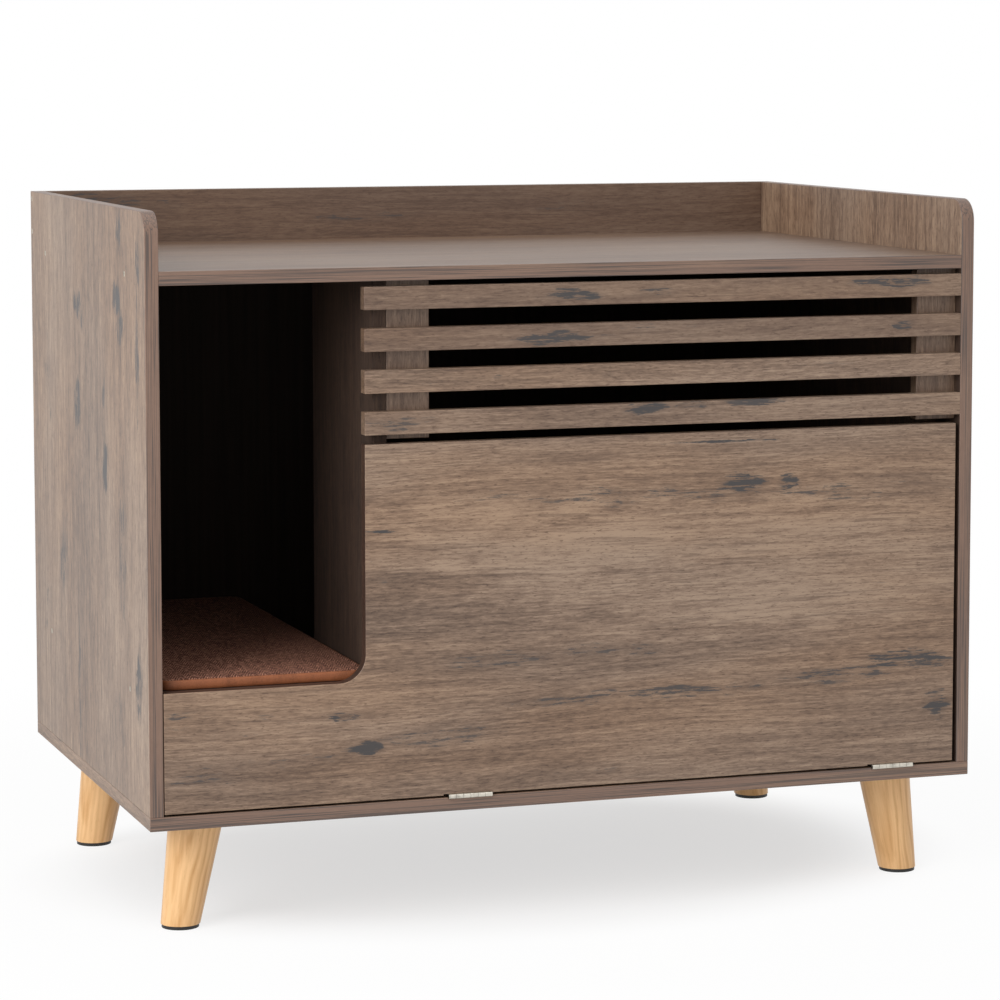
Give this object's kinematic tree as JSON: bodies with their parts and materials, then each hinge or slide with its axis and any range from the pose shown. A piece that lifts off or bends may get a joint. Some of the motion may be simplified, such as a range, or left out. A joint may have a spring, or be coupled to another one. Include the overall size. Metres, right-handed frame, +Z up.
{
  "type": "cat litter box cabinet",
  "caption": "Wood-print cabinet on splayed wooden legs that hides a litter box: open cat entry with a mat, louvred front and a flip-down L-shaped door.",
  "frame": {"origin": "middle of the cabinet's footprint, on the surface that the foot pads stand on", "axes": "+X to the right seen from the front, the front faces -Y, +Z up"},
  "size_m": [0.96, 0.6038, 0.784],
  "materials": {
    "wood_print_board": "matt wood-print laminate on particle board, grey-brown with dark streaks",
    "back_board": "thin printed hardboard",
    "leg_wood": "clear-varnished light pine",
    "dowel_wood": "plain beech",
    "foot_pad": "matt black",
    "zinc_steel": "zinc plated",
    "hinge_nickel": "nickel plated",
    "catch_plastic": "brown moulded plastic",
    "mat_weave": "brown woven top with a smooth bound edge"
  },
  "bodies": {
    "cabinet": {"back_panel": "back_board", "back_rail": "wood_print_board", "batten_dowels": "dowel_wood", "bottom_panel": "wood_print_board", "bottom_screws": "zinc_steel", "catch_screws": "zinc_steel", "divider_dowels": "dowel_wood", "divider_panel": "wood_print_board", "divider_screws": "zinc_steel", "foot_pads": "foot_pad", "hinge_base_screws": "zinc_steel", "left_batten": "wood_print_board", "left_catch": "catch_plastic", "left_hinge_base_leaf": "hinge_nickel", "left_hinge_pin": "hinge_nickel", "left_side_panel": "wood_print_board", "left_side_screws": "zinc_steel", "leg_bolts": "zinc_steel", "leg_plates": "zinc_steel", "leg_screws": "zinc_steel", "legs": "leg_wood", "mat_shelf": "wood_print_board", "right_batten": "wood_print_board", "right_catch": "catch_plastic", "right_hinge_base_leaf": "hinge_nickel", "right_hinge_pin": "hinge_nickel", "right_side_panel": "wood_print_board", "right_side_screws": "zinc_steel", "slat_1": "wood_print_board", "slat_2": "wood_print_board", "slat_3": "wood_print_board", "slat_4": "wood_print_board", "slat_screws": "zinc_steel", "top_panel": "wood_print_board"},
    "door": {"flip_door": "wood_print_board", "left_hinge_door_leaf": "hinge_nickel", "right_hinge_door_leaf": "hinge_nickel", "hinge_door_screws": "zinc_steel", "left_strike_plate": "zinc_steel", "right_strike_plate": "zinc_steel", "strike_screws": "zinc_steel"},
    "mat": {"mat": "mat_weave"}
  },
  "joints": [
    {"name": "door_hinge", "type": "hinge", "parent": "cabinet", "child": "door", "pos_m": [0, -0.29907, 0.14025], "axis": [1, 0, 0], "range_deg": [0, 110]},
    {"name": "mat_lift", "type": "slide", "parent": "cabinet", "child": "mat", "axis": [0, 0, 1], "range_m": [0, 0.25]}
  ]
}
